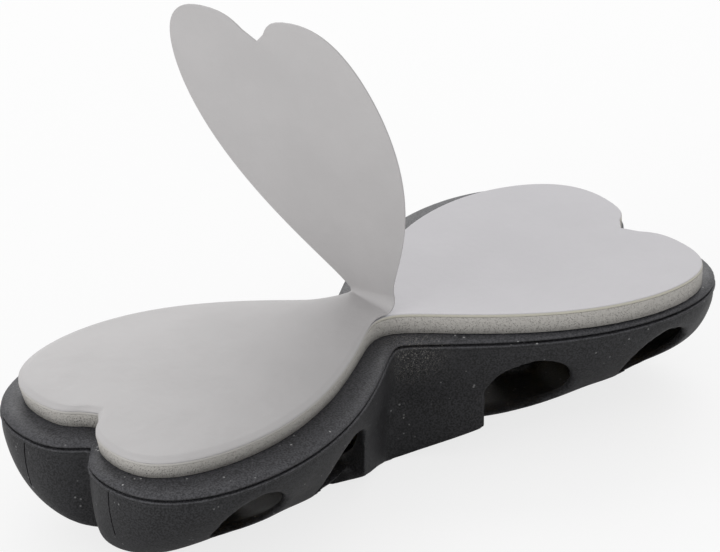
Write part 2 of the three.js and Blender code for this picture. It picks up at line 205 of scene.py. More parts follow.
# Lure
CUP_PROFILE = (
    (0, 2.1), (3.8, 2.1), (4.1, 2.4), (4.1, 13.6), (3.9, 13.8), (3.4, 13.8), (3.2, 13.6), (3.2, 2.9),
    (0, 2.9),
)
CUP_SLOTS = 4
SLOT_HALF_WIDTH = 0.8
SLOT_HEIGHTS = (4.3, 12.7)
DISPENSER_PROFILE = (
    (0, 3.2), (2.4, 3.2), (2.8, 3.6), (2.8, 9.8), (2.9, 10.2), (2.9, 13.5), (2.6, 13.8), (1.9, 13.8),
    (1.6, 13.5), (1.6, 9.2), (1.2, 8.8), (0, 8.8),
)
LID_PROFILE = ((0, 14.1), (3.95, 14.1), (4.1, 14.25), (4.1, 14.85), (3.85, 15.1), (0, 15.1))
LID_HOLES = 5
LID_HOLE_RADIUS = 0.7
LID_HOLE_X = 2.1
LID_HOLE_STEPS = 32

# Angles in degrees past which an edge is shaded as a sharp one
SHARP_MOULDED = 35
SHARP_SOFTENED = 50
SHARP_PAD = 60
NEVER_SHARP = 180

# Finishes. The plastic has painted light: it is lighter on upward faces, from none of it at the first
# height to all at the second. It has painted shade: it is dark where the product of a face's direction
# and its place across the trap shows that it looks inwards.
TOP_LIGHT_HEIGHTS = (0.0145, 0.0165)
INWARD_SHADE_SPAN = (-0.011, -0.006)
LINT_SCALE = 1500
LINT_COLOUR = (0.42, 0.42, 0.42, 1)
DUST_PLACE = (0.0025, -0.0078, 0.0185)
DUST_RADIUS = 0.0075
DUST_COLOUR = (0.21, 0.2, 0.185, 1)
SKIN_EDGE_X = (-0.006, 0.002)
SKIN_EDGE_LEFT = (0.49, 0.475, 0.45, 1)
SKIN_EDGE_RIGHT = (0.56, 0.54, 0.46, 1)
TAPE_DARK = (0.47, 0.45, 0.36, 1)
TAPE_LIGHT = (0.54, 0.52, 0.43, 1)

# Stage. The lamps have a share of the main lamp's power, a size and a place.
FLOOR_RADIUS = 3000
FLOOR_COLOUR = (0.88, 0.88, 0.88, 1)
FLOOR_WHITE_SHARE = 0.78
LAMPS = {
    "back_lamp": (1, 0.7, (0.45, 0.55, 0.5)),
    "left_lamp": (0.55, 0.5, (-0.8, 0.0, 0.3)),
}
TARGET = Vector((0.005197, 0.006742, 0.0236))
AZIMUTH = math.radians(41.86)
ELEVATION = math.radians(27.6448)
ROLL = math.radians(1.16)
DISTANCE = 1.3056
LENS = 446.16
SENSOR_WIDTH = 36
CLIP_END = 10


def lerp(a, b, share):
    return a + (b - a) * share


def eased(value, start, end):
    """0 at the start, 1 at the end, and smooth between them."""
    share = min(1, max(0, (value - start) / (end - start)))
    return share * share * (3 - 2 * share)


def bezier(a, b, c, d, t):
    """Point of a curve between the knots a and d, with the handles b and c."""
    s = 1 - t
    return s ** 3 * a + 3 * s * s * t * b + 3 * s * t * t * c + t ** 3 * d


def crown(x):
    """Height of the crowned top at x, which is 0 at the waist."""
    return -x * x / (2 * CROWN_RADIUS)


def rocker(x):
    """Rise of the keel at x, above its lowest points in the two bellies."""
    return (abs(x) - BELLY_LOW_X) ** 2 / (2 * ROCKER_RADIUS)


def quarter_edge(inset):
    """Points of the quarter edge, drawn in by inset, each with the spine point that it faces."""
    points, outwards = [], []
    for knots, steps in zip(EDGE_STRETCHES, EDGE_STEPS):
        a, b, c, d = (Vector(knot) for knot in knots)
        for i in range(1 if points else 0, steps + 1):
            t = i / steps
            s = 1 - t
            points.append(bezier(a, b, c, d, t))
            along = (s * s * (b - a) + 2 * s * t * (c - b) + t * t * (d - c)).normalized()
            outwards.append(Vector((along.y, -along.x)))
    outwards[0] = Vector((1, 0))
    outwards[-1] = Vector((0, 1))
    edge = []
    reach = NOTCH_X
    for point, outward in zip(points, outwards):
        reach = min(reach, point.x)
        edge.append((point - outward * inset, reach * KEEL_END_X / NOTCH_X))
    return edge


def drawn_to_spine(point, spine, share, z):
    return Vector((lerp(spine, point.x, share), point.y * share, z))


def face_row(inset, z, share=1.0):
    """Row of one quarter at a height, drawn in towards the spine by a share."""
    return [drawn_to_spine(point, spine, share, z) for point, spine in quarter_edge(inset)]


def drawn_row(inset, z, by):
    """Row of one quarter at a height, drawn in by a distance along each point's line to the spine."""
    row = []
    for point, spine in quarter_edge(inset):
        share = max(LEAST_SHARE, 1 - by / math.hypot(point.x - spine, point.y))
        row.append(drawn_to_spine(point, spine, share, z))
    return row


def crowned(rows):
    return [[Vector((p.x, p.y, p.z + crown(p.x))) for p in row] for row in rows]


def section_row(edge, turn, low_at):
    """Row of the bowl at a turn from 0 at the rim to a quarter circle at the keel."""
    row = []
    for point, spine in edge:
        low = low_at + rocker(spine)
        span = math.hypot(point.x - spine, point.y)
        square = max(0, 1 - span / BELLY_HALF_WIDTH)
        across = lerp(*POWER_ACROSS, square)
        down = lerp(*POWER_DOWN, square)
        rim = RIM_HEIGHT + crown(point.x)
        z = rim - (rim - low) * math.sin(turn) ** (2 / down)
        leaned = math.tan(DRAFT) * max(0, rim - z - RIM_LAND)
        bare = max(0, 1 - leaned / span) * max(0, math.cos(turn)) ** (2 / across)
        row.append(drawn_to_spine(point, spine, lerp(KEEL_RADIUS / span, 1, bare), z))
    return row


def grid_on_rows(rows, hangs=None):
    """Grid laid on the rows, whose vertices keep their row's share of the edge's droop, if it has one."""
    bm = bmesh.new()
    hang = bm.verts.layers.float.new("hang")
    wide, high = len(rows[0]) - 1, len(rows) - 1
    bmesh.ops.create_grid(bm, x_segments=wide, y_segments=high, size=1)
    for vert in bm.verts:
        i = round((vert.co.x + 1) / 2 * wide)
        j = round((vert.co.y + 1) / 2 * high)
        vert.co = rows[j][i]
        vert[hang] = hangs[j] if hangs else 0
    return bm


def weld(bm, gap):
    bmesh.ops.remove_doubles(bm, verts=bm.verts, dist=gap)
    bmesh.ops.dissolve_degenerate(bm, edges=bm.edges, dist=gap / 10)
    bmesh.ops.recalc_face_normals(bm, faces=bm.faces)


def both_hearts(rows, hangs=None):
    """Closed skin of the whole outline from the rows of one quarter."""
    bm = grid_on_rows(rows, hangs)
    for axis in "XY":
        geometry = bm.verts[:] + bm.edges[:] + bm.faces[:]
        bmesh.ops.mirror(bm, geom=geometry, axis=axis, merge_dist=1e-3)
    weld(bm, 1e-3)
    return bm


def turned(profile, x=0.0, steps=64):
    """Solid spun about an upright axis from points of radius and height."""
    bm = bmesh.new()
    verts = [bm.verts.new((radius, 0, z)) for radius, z in profile]
    edges = [bm.edges.new(pair) for pair in zip(verts, verts[1:])]
    bmesh.ops.spin(
        bm, geom=verts + edges, cent=(0, 0, 0), axis=(0, 0, 1), angle=math.tau, steps=steps, use_merge=True,
    )
    weld(bm, 1e-4)
    bmesh.ops.translate(bm, vec=(x, 0, 0), verts=bm.verts)
    return bm


def rod(radius, low, high, x=0.0, steps=64):
    return turned([(0, low), (radius, low), (radius, high), (0, high)], x, steps)


def block(low, high):
    bm = bmesh.new()
    bmesh.ops.create_cube(bm, size=1)
    low, high = Vector(low), Vector(high)
    bmesh.ops.scale(bm, vec=high - low, verts=bm.verts)
    bmesh.ops.translate(bm, vec=(high + low) / 2, verts=bm.verts)
    return bm


def piece(name, bm):
    """Object of a mesh in millimetres, with its place in its mesh."""
    bmesh.ops.scale(bm, vec=(MM, MM, MM), verts=bm.verts)
    mesh = bpy.data.meshes.new(name)
    bm.to_mesh(mesh)
    bm.free()
    made = bpy.data.objects.new(name, mesh)
    bpy.context.scene.collection.objects.link(made)
    return made


def turned_copies(name, count, shape, first=0.0):
    """Pieces of a shape that is made anew for each, and turned evenly about the upright axis."""
    made = []
    for i in range(count):
        bm = shape()
        turn = Matrix.Rotation((i + first) * math.tau / count, 3, "Z")
        bmesh.ops.rotate(bm, cent=(0, 0, 0), matrix=turn, verts=bm.verts)
        made.append(piece(name, bm))
    return made


def settle(made):
    """Writes the piece's modifiers into its mesh."""
    graph = bpy.context.evaluated_depsgraph_get()
    graph.update()
    mesh = bpy.data.meshes.new_from_object(made.evaluated_get(graph))
    made.modifiers.clear()
    old = made.data
    made.data = mesh
    mesh.name = made.name
    bpy.data.meshes.remove(old)
    if not mesh.polygons:
        raise RuntimeError(f"{made.name} came out empty")


def join(made, others, operation):
    """Adds or cuts the other solids, and takes them out of the scene."""
    for other in others:
        step = made.modifiers.new("join", "BOOLEAN")
        step.operation = operation
        step.solver = "MANIFOLD"
        step.object = other
    settle(made)
    for other in others:
        bpy.data.objects.remove(other)


def dress(made, sharp, material, body, slot, *nodes):
    """Gives a finished piece its shading and its material, and ties it to the frame."""
    made.data.polygons.foreach_set("use_smooth", [True] * len(made.data.polygons))
    made.data.set_sharp_from_angle(angle=math.radians(sharp))
    made.data.materials.clear()
    made.data.materials.append(material)
    if body:
        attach(made, body)
    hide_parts(*nodes)


def add_node(tree, kind, inputs, **settings):
    """Adds a node, sets or links its inputs, and gives its outputs."""
    made = tree.nodes.new(kind)
    for name, value in settings.items():
        setattr(made, name, value)
    for socket, value in inputs.items():
        if isinstance(value, bpy.types.NodeSocket):
            tree.links.new(value, made.inputs[socket])
        else:
            made.inputs[socket].default_value = value
    return made.outputs


class Finish:
    """Principled material whose patterns are laid on Object coordinates."""

    def __init__(self, name, roughness, specular, **sockets):
        self.material = bpy.data.materials.new(name)
        self.material.use_nodes = True
        self.tree = self.material.node_tree
        self.shader = self.tree.nodes["Principled BSDF"]
        for socket, value in {"Roughness": roughness, "Specular IOR Level": specular, **sockets}.items():
            self.shader.inputs[socket].default_value = value
        self.place = self.node("ShaderNodeTexCoord", {}, "Object")
        self.normal = None

    def node(self, kind, inputs, output, **settings):
        return add_node(self.tree, kind, inputs, **settings)[output]

    def facing(self):
        return self.node("ShaderNodeNewGeometry", {}, "Normal")

    def part(self, vector, axis):
        return self.node("ShaderNodeSeparateXYZ", {0: vector}, axis)

    def grain(self, scale, detail):
        inputs = {"Vector": self.place, "Scale": scale, "Detail": detail}
        return self.node("ShaderNodeTexNoise", inputs, "Fac")

    def cells(self, scale, output="Distance"):
        return self.node("ShaderNodeTexVoronoi", {"Vector": self.place, "Scale": scale}, output)

    def span(self, value, low, high, to_low=0.0, to_high=1.0):
        """Smooth step of a value, from one level at low to another at high."""
        inputs = {"Value": value, "From Min": low, "From Max": high, "To Min": to_low, "To Max": to_high}
        return self.node("ShaderNodeMapRange", inputs, "Result", interpolation_type="SMOOTHSTEP")

    def times(self, a, b):
        return self.node("ShaderNodeMath", {0: a, 1: b}, 0, operation="MULTIPLY")

    def mix(self, share, a, b):
        return self.node("ShaderNodeMix", {0: share, 6: a, 7: b}, 2, data_type="RGBA")

    def bump(self, height, depth):
        inputs = {"Height": height, "Distance": depth}
        if self.normal:
            inputs["Normal"] = self.normal
        self.normal = self.node("ShaderNodeBump", inputs, "Normal")

    def near(self, point, radius):
        """1 at a point in metres, and 0 from the radius outwards."""
        away = self.node("ShaderNodeVectorMath", {0: self.place, 1: point}, "Value", operation="DISTANCE")
        return self.span(away, 0.0, radius, 1.0, 0.0)

    def done(self, colour, roughness=None):
        self.tree.links.new(colour, self.shader.inputs["Base Color"])
        if roughness:
            self.tree.links.new(roughness, self.shader.inputs["Roughness"])
        if self.normal:
            self.tree.links.new(self.normal, self.shader.inputs["Normal"])
        return self.material


def rgba(colour, level=1.0):
    return (colour[0] * level, colour[1] * level, colour[2] * level, 1)


def mottled(finish, grain, dark, light, depth, bump_grain=None):
    """Completes a finish whose colour wanders between two, with a bump of the same grain or its own."""
    cloud = finish.grain(*grain)
    base = finish.mix(cloud, dark, light)
    finish.bump(finish.grain(*bump_grain) if bump_grain else cloud, depth)
    return finish.done(base)


def colour_setting(name, description, default):
    return FloatVectorProperty(
        name=name, description=description, default=default, subtype="COLOR", size=3, min=0, max=1,
    )


def length_setting(name, description, default):
    return FloatProperty(
        name=name, description=description, default=default * MM, subtype="DISTANCE", unit="LENGTH",
    )


class TrapHousingSettings(PropertyGroup):
    wall: length_setting("Wall", "Thickness of the shell's wall", 1.9)
    floor: length_setting("Floor", "Thickness of the shell's floor", 1.8)
    moulding: length_setting("Moulding softness", "Grid that rounds the shell's edges", 0.45)
    flash: length_setting("Mould line", "Depth of the mould lines on the lobes", 0.3)
    bead: length_setting("Rim bead", "Radius of the bead round the rim", 0.29)
    colour: colour_setting("Plastic", "Colour of the black plastic", (0.017, 0.017, 0.0185))


class TrapPadSettings(PropertyGroup):
    droop: length_setting("Edge droop", "How far the pad's edge is pressed down on the left heart", 0.5)
    waviness: length_setting("Cut waviness", "How far the cut edge of the foam wanders", 0.06)
    slant: length_setting("Cut slant", "How far the foam's lower edge runs in on the left heart", 0.7)
    foam: colour_setting("Foam", "Colour of the foam's cut edge", (0.355, 0.342, 0.322))
    skin: colour_setting("Adhesive", "Colour of the sticky skin", (0.485, 0.474, 0.494))


class TrapLinerSettings(PropertyGroup):
    bend_cuts: IntProperty(
        name="Fold cuts", description="Cuts across the film at its fold", default=24, min=4,
    )
    colour: colour_setting("Liner", "Colour of the release liner", (0.512, 0.5, 0.501))


class TrapLureSettings(PropertyGroup):
    cup: colour_setting("Cup", "Colour of the lure cup and its lid", (0.14, 0.15, 0.15))
    rubber: colour_setting("Dispenser", "Colour of the rubber dispenser", (0.27, 0.04, 0.025))
    card: colour_setting("Card", "Colour of the paper cards", (0.68, 0.65, 0.57))
    glue: colour_setting("Glue", "Colour of the insect glue", (0.58, 0.4, 0.11))


class TrapStageSettings(PropertyGroup):
    lamp_power: FloatProperty(
        name="Lamp power", description="Power of the main lamp", default=3.6, unit="POWER",
    )
    sky: FloatProperty(
        name="Sky", description="Strength of the light from all round", default=0.66, min=0,
    )


def black_plastic(colour):
    """Black moulded plastic with a fine matte grain, dust at the waist, a few specks of lint, painted light
    on upward faces and painted shade inside.
    """
    made = bpy.data.materials.get(BLACK)
    if made:
        return made
    finish = Finish(BLACK, 0.5, 0.27)
    fine = finish.grain(3600, 3)
    broad = finish.grain(160, 3)
    facing = finish.facing()
    # Painted light: upward faces above the cavity floor are made lighter and the other faces darker, as
    # light falls on them.
    upward = finish.span(finish.part(facing, "Z"), 0.0, 0.75)
    above = finish.span(finish.part(finish.place, "Z"), *TOP_LIGHT_HEIGHTS)
    upward = finish.times(upward, above)
    dark = finish.mix(upward, rgba(colour, 0.4), rgba(colour, 1.7))
    light = finish.mix(upward, rgba(colour, 1.8), rgba(colour, 4.7))
    base = finish.mix(finish.span(fine, 0.34, 0.66), dark, light)
    base = finish.mix(finish.times(finish.span(broad, 0.45, 0.8), 0.35), base, light)
    picked = finish.node("ShaderNodeSeparateColor", {0: finish.cells(LINT_SCALE, "Color")}, 0)
    specks = finish.span(finish.cells(LINT_SCALE), 0.16, 0.3, 1.0, 0.0)
    lint = finish.times(specks, finish.span(picked, 0.8, 0.81))
    patches = finish.span(finish.grain(210, 2), 0.52, 0.62)
    patches = finish.times(patches, finish.span(upward, 0.0, 1.0, 0.35, 1.0))
    base = finish.mix(finish.times(lint, patches), base, LINT_COLOUR)
    # Painted shade: faces that look inwards, into the cavity and the entrances, are darkened.
    outward = finish.times(finish.part(facing, "Y"), finish.part(finish.place, "Y"))
    base = finish.mix(finish.span(outward, *INWARD_SHADE_SPAN, 0.85, 0.0), base, rgba(colour, 0.2))
    flecks = finish.span(finish.grain(5600, 3), 0.52, 0.66)
    dust = finish.times(finish.near(DUST_PLACE, DUST_RADIUS), flecks)
    base = finish.mix(finish.times(dust, 0.9), base, DUST_COLOUR)
    finish.bump(fine, 0.00003)
    return finish.done(base, finish.span(broad, 0.2, 0.8, 0.46, 0.58))


def cut_foam(colour):
    """Foam whose cut edge shows open cells, with painted shade darkening its foot and painted light paling
    it under the skin.
    """
    finish = Finish("foam", 0.95, 0.2)
    pore = finish.span(finish.cells(4200), 0.05, 0.4)
    patch = finish.span(finish.grain(4600, 3), 0.35, 0.65)
    base = finish.mix(pore, rgba(colour, 0.7), rgba(colour, 1.1))
    base = finish.mix(finish.times(patch, 0.55), base, rgba(colour, 0.72))
    height = finish.node("ShaderNodeAttribute", {}, "Fac", attribute_name="rise")
    # Painted light: the cut edge is made paler towards its top, under the skin.
    base = finish.mix(finish.span(height, 0.1, 0.95, 0.0, 0.65), base, rgba(colour, 1.6))
    # Painted shade: the cut edge is made darker at its foot, against the plate.
    base = finish.mix(finish.span(height, 0.0, 0.4, 0.6, 0.0), base, rgba(colour, 0.45))
    finish.bump(pore, 0.00012)
    finish.bump(finish.grain(1500, 4), 0.0002)
    return finish.done(base)


def sticky_skin(colour):
    """Pale adhesive, a little cloudy and flecked, with a yellower edge."""
    finish = Finish("adhesive_skin", 0.5, 0.3)
    cloud = finish.span(finish.grain(90, 4), 0.3, 0.75)
    fleck = finish.span(finish.cells(2400), 0.0, 0.4)
    base = finish.mix(cloud, rgba(colour, 0.97), rgba(colour, 1.02))
    base = finish.mix(finish.times(fleck, 0.25), base, rgba(colour, 0.96))
    upward = finish.part(finish.facing(), "Z")
    across = finish.part(finish.place, "X")
    side = finish.mix(finish.span(across, *SKIN_EDGE_X), SKIN_EDGE_LEFT, SKIN_EDGE_RIGHT)
    base = finish.mix(finish.span(upward, 0.35, 0.97, 1.0, 0.0), base, side)
    finish.bump(finish.grain(700, 4), 0.00005)
    return finish.done(base)


def release_film(colour):
    """Satin film with faint clouds, a fine grain and slight waves."""
    finish = Finish("release_liner", 0.55, 0.3)
    cloud = finish.span(finish.grain(60, 4), 0.3, 0.7)
    base = finish.mix(cloud, rgba(colour, 0.965), rgba(colour, 1.02))
    base = finish.mix(finish.times(finish.grain(3800, 2), 0.2), base, rgba(colour, 0.9))
    finish.bump(finish.grain(800, 3), 0.00003)
    finish.bump(cloud, 0.0002)
    return finish.done(base)


class TRAP_OT_housing(Operator):
    """Moulded shell with its entrances, foot, peg sockets and mould lines"""

    bl_idname = "trap.housing"
    bl_label = "Trap housing"

    def execute(self, context):
        settings = context.scene.trap_housing
        wall, floor = settings.wall / MM, settings.floor / MM
        shell = piece("housing", self.bowl(RIM_RECESS, BELLY_LOW))
        join(shell, [piece("foot", self.foot(0, 0))], "UNION")
        cavities = [
            piece("cavity", self.bowl(wall, BELLY_LOW + floor, CAVITY_RISE)),
            piece("foot_cavity", self.foot(wall, floor)),
        ]
        join(shell, cavities, "DIFFERENCE")
        arches = []
        for end, side in QUARTERS:
            arches += [piece("arch", self.arch(end, side, *row)) for row in (WAIST_ARCH, LOBE_ARCH)]
        join(shell, arches, "DIFFERENCE")
        low = BELLY_LOW + floor - POST_ROOT
        posts = [piece("socket", rod(POST_RADIUS, low, SOCKET_TOP, x)) for x in (-PEG_X, PEG_X)]
        bores = [piece("bore", rod(SOCKET_RADIUS, SOCKET_LOW, CUT_TOP, x)) for x in (-PEG_X, PEG_X)]
        join(shell, posts, "UNION")
        join(shell, bores, "DIFFERENCE")
        self.soften(shell, settings.moulding)
        self.mould_lines(shell, settings.flash / MM)
        material = black_plastic(settings.colour)
        dress(shell, SHARP_SOFTENED, material, "shell", "moulded_black", "housing_shell")
        bead = self.rim_bead(settings.bead / MM)
        dress(bead, NEVER_SHARP, material, "shell", "moulded_black", "housing_shell")
        return {"FINISHED"}

    def soften(self, shell, grid):
        """Rounds all the edges as a mould does."""
        remesh = shell.modifiers.new("remesh", "REMESH")
        remesh.mode = "VOXEL"
        remesh.voxel_size = grid
        ease = shell.modifiers.new("ease", "SMOOTH")
        ease.factor = 0.5
        ease.iterations = SMOOTHINGS
        settle(shell)

    def mould_lines(self, shell, depth):
        """Fine upright grooves at the four lobes' outermost points, where the halves of the mould met."""
        low, high = MOULD_LINE_HEIGHTS
        lines = []
        for end, side in QUARTERS:
            x_low, x_high = sorted(end * x for x in MOULD_LINE_X)
            y_low = side * LOBE_END_Y - MOULD_LINE_HALF_WIDTH
            y_high = side * LOBE_END_Y + MOULD_LINE_HALF_WIDTH
            lines.append(piece("line", block((x_low, y_low, low), (x_high, y_high, high))))
        for line in lines:
            core = piece("core", self.bowl(RIM_RECESS + depth, BELLY_LOW + depth))
            join(line, [core], "DIFFERENCE")
        join(shell, lines, "DIFFERENCE")

    def rim_bead(self, radius):
        """Bead round the rim, with its top just under the parting line."""
        rows = []
        for i in range(BEAD_STEPS + 1):
            turn = math.tau * i / BEAD_STEPS
            z = RIM_HEIGHT - radius + radius * math.sin(turn)
            rows.append(face_row(radius * (1 - math.cos(turn)), z))
        return piece("rim_bead", both_hearts(crowned(rows)))

    def bowl(self, inset, low, overshoot=0):
        """Closed bowl from the keel up to the rim, or to a level above it for the cavity."""
        edge = quarter_edge(inset)
        rows = [[Vector((spine, 0, low + rocker(spine))) for _, spine in edge]]
        for step in range(SECTION_STEPS, -1, -1):
            rows.append(section_row(edge, step / SECTION_STEPS * math.pi / 2, low))
        if overshoot:
            top = [face_row(inset, RIM_HEIGHT + overshoot, share) for share in (1, *reversed(FACE_SHARES))]
        else:
            top = crowned(face_row(inset, RIM_HEIGHT, share) for share in reversed(FACE_SHARES))
        return both_hearts(rows + top)

    def half_width(self, x, inset):
        """Half width of the housing at x, drawn in by inset."""
        points = [point for point, _ in reversed(quarter_edge(inset))]
        for a, b in zip(points, points[1:]):
            if b.x > abs(x):
                return lerp(a.y, b.y, (abs(x) - a.x) / (b.x - a.x))
        raise ValueError(f"the housing doesn't reach x = {x}")

    def foot(self, inset, low):
        """Foot under the waist, whose underside rises from a flat strip to the housing's edges."""
        end = FOOT_END_X - inset
        slices = []
        for i in range(FOOT_STEPS + 1):
            x = lerp(-end, end, i / FOOT_STEPS)
            edge_y = self.half_width(x, FOOT_EDGE_INSET + inset)
            edge_z = low + FOOT_EDGE_RISE * (abs(x) / FOOT_END_X) ** FOOT_RISE_POWER
            flat_y = min(FOOT_HALF_WIDTH, edge_y) - inset / 2
            top_y = self.half_width(x, FOOT_TOP_INSET + inset)
            near = [(flat_y, low), (edge_y, edge_z), (top_y, FOOT_TOP)]
            far = [(-y, z) for y, z in reversed(near)]
            slices.append([Vector((x, y, z)) for y, z in [*near, *far, near[0]]])
        bm = grid_on_rows(slices)
        bmesh.ops.remove_doubles(bm, verts=bm.verts, dist=1e-4)
        bmesh.ops.holes_fill(bm, edges=[e for e in bm.edges if e.is_boundary], sides=0)
        bmesh.ops.recalc_face_normals(bm, faces=bm.faces)
        return bm

    def arch(self, end, side, x, half, top, middle, sill, square):
        """Cutter for one entrance, of two half ellipses."""
        low, high = -math.pi / 2, math.pi if square else math.pi * 3 / 2
        bm = bmesh.new()
        outline = []
        for i in range(ARCH_STEPS + 1):
            turn = lerp(low, high, i / ARCH_STEPS)
            rise = top - middle if math.sin(turn) > 0 else middle - sill
            outline.append((end * (x + half * math.cos(turn)), middle + rise * math.sin(turn)))
        if square:
            outline.append((end * (x - half), sill))
        else:
            outline.pop()
        face = bm.faces.new([bm.verts.new((px, side * ARCH_START_Y, pz)) for px, pz in outline])
        grown = bmesh.ops.extrude_face_region(bm, geom=[face])["geom"]
        moved = [v for v in grown if isinstance(v, bmesh.types.BMVert)]
        bmesh.ops.translate(bm, vec=(0, side * REACH, 0), verts=moved)
        bmesh.ops.recalc_face_normals(bm, faces=bm.faces)
        return bm


class TRAP_OT_plate(Operator):
    """Plate with its rounded shoulder, the plug inside the rim and two pegs"""

    bl_idname = "trap.plate"
    bl_label = "Trap plate"

    def execute(self, context):
        rows = [face_row(PLUG_INSET, PLUG_LOW, share) for share in FACE_SHARES]
        rows += [
            face_row(PLUG_INSET + PLUG_CHAMFER, PLUG_LOW),
            face_row(PLUG_INSET, PLUG_LOW + PLUG_CHAMFER),
            face_row(PLUG_INSET, FLANGE_LOW),
            face_row(FLANGE_LOW_INSET, FLANGE_LOW),
            face_row(FLANGE_RECESS, FLANGE_EDGE_LOW),
        ]
        for step in range(1, SHOULDER_STEPS + 1):
            turn = step / SHOULDER_STEPS * math.pi / 2
            z = lerp(FLANGE_EDGE_LOW, PLATE_TOP, math.sin(turn))
            rows.append(face_row(lerp(PLATE_SHOULDER, FLANGE_RECESS, math.cos(turn)), z))
        rows += [face_row(PLATE_SHOULDER, PLATE_TOP, share) for share in reversed(FACE_SHARES)]
        plate = piece("plate", both_hearts(crowned(rows)))
        join(plate, [piece("peg", turned(PEG_PROFILE, x)) for x in (-PEG_X, PEG_X)], "UNION")
        material = black_plastic(context.scene.trap_housing.colour)
        dress(plate, SHARP_MOULDED, material, "plate", "moulded_black", "base_plate")
        return {"FINISHED"}


def narrow_notch(bm):
    """Draws the lobes of the pad together at its notches, which are cut narrower than the housing's."""
    for vert in bm.verts:
        x, y = abs(vert.co.x), abs(vert.co.y)
        share = eased(x, *NOTCH_X_SPAN) * eased(y, 0, NOTCH_Y_SPAN[0]) * (1 - eased(y, *NOTCH_Y_SPAN))
        vert.co.y -= math.copysign(NOTCH_DRAW * share, vert.co.y)


def layer_rows(inset, low, high, round_by=0.0, hangs=(1, 1)):
    """Rows of a pad layer from the middle of its lower side round its edge to that of its upper side.

    Each comes with its share of the edge's droop. The two hangs are the shares at the lower and upper edge.
    """
    start = inset + round_by
    near = [(DROOP_WIDTH * i / DROOP_STEPS, (1 - i / DROOP_STEPS) ** 2) for i in range(DROOP_STEPS + 1)]
    rows = [(face_row(inset, low, share), 0) for share in FACE_SHARES]
    rows += [(drawn_row(start, low, by), hang * hangs[0]) for by, hang in reversed(near)]
    if round_by:
        lower = (low + round_by, (-60, -30, 0), hangs[0])
        upper = (high - round_by, (0, 30, 60), hangs[1])
        for middle, degrees, hang in (lower, upper):
            for turn in map(math.radians, degrees):
                at = inset + round_by * (1 - math.cos(turn))
                rows.append((face_row(at, middle + round_by * math.sin(turn)), hang))
    rows += [(drawn_row(start, high, by), hang * hangs[1]) for by, hang in near]
    rows += [(face_row(inset, high, share), 0) for share in reversed(FACE_SHARES)]
    return rows


def pad_layer(rows, droop):
    """Layer in the pad's own outline and frame, whose edge droops round the left heart."""
    bm = both_hearts([row for row, _ in rows], [hang for _, hang in rows])
    narrow_notch(bm)
    hang = bm.verts.layers.float["hang"]
    for vert in bm.verts:
        vert.co.z -= droop * vert[hang] * eased(vert.co.x, *DROOP_X)
    return bm


def lay_on_plate(bm):
    """Turns and shifts a pad layer as the pad is, and bends it to the crown."""
    bmesh.ops.transform(bm, matrix=PAD_PLACE, verts=bm.verts)
    for vert in bm.verts:
        vert.co.z += crown(vert.co.x)
    return bm


class TRAP_OT_pad(Operator):
    """Foam pad with its bonding film and its sticky skin"""

    bl_idname = "trap.pad"
    bl_label = "Trap pad"

    def execute(self, context):
        settings = context.scene.trap_pad
        droop = settings.droop / MM
        self.foam(settings, droop)
        rows = layer_rows(SKIN_INSET, *SKIN_HEIGHTS, SKIN_ROUNDING)
        skin = piece("skin", lay_on_plate(pad_layer(rows, droop)))
        dress(skin, SHARP_PAD, sticky_skin(settings.skin), "plate", "adhesive_skin", "adhesive_skin")
        tape = piece("tape", lay_on_plate(pad_layer(layer_rows(TAPE_INSET, *TAPE_HEIGHTS), 0)))
        film = mottled(Finish("adhesive_film", 0.35, 0.4), (400, 3), TAPE_DARK, TAPE_LIGHT, 0.00003)
        dress(tape, SHARP_PAD, film, "plate", "adhesive_film", "pad_tape")
        return {"FINISHED"}

    def foam(self, settings, droop):
        """Foam with a wavering cut edge, whose vertices keep their height in it for the finish's painted
        light and shade.
        """
        wander = settings.waviness / MM
        slant = settings.slant / MM
        low, high = FOAM_HEIGHTS
        rows = layer_rows(PAD_MARGIN, low, high, FOAM_ROUNDING, (0, 1))
        bm = lay_on_plate(pad_layer(rows, droop))
        rise = bm.verts.layers.float.new("rise")
        noise.seed_set(WAVE_SEED)
        for vert in bm.verts:
            shift = noise.noise_vector(vert.co * WAVE_SCALE) * wander
            vert[rise] = (vert.co.z - low - crown(vert.co.x)) / (high - low)
            lower = (1 - vert[rise]) * eased(vert.co.x, *SLANT_X)
            inward = Vector((-vert.co.x, -2 * vert.co.y, 0)).normalized() * slant * lower
            vert.co += Vector((shift.x, shift.y, 0)) + inward
        foam = piece("foam", bm)
        dress(foam, SHARP_PAD, cut_foam(settings.foam), "plate", "foam", "foam_pad")


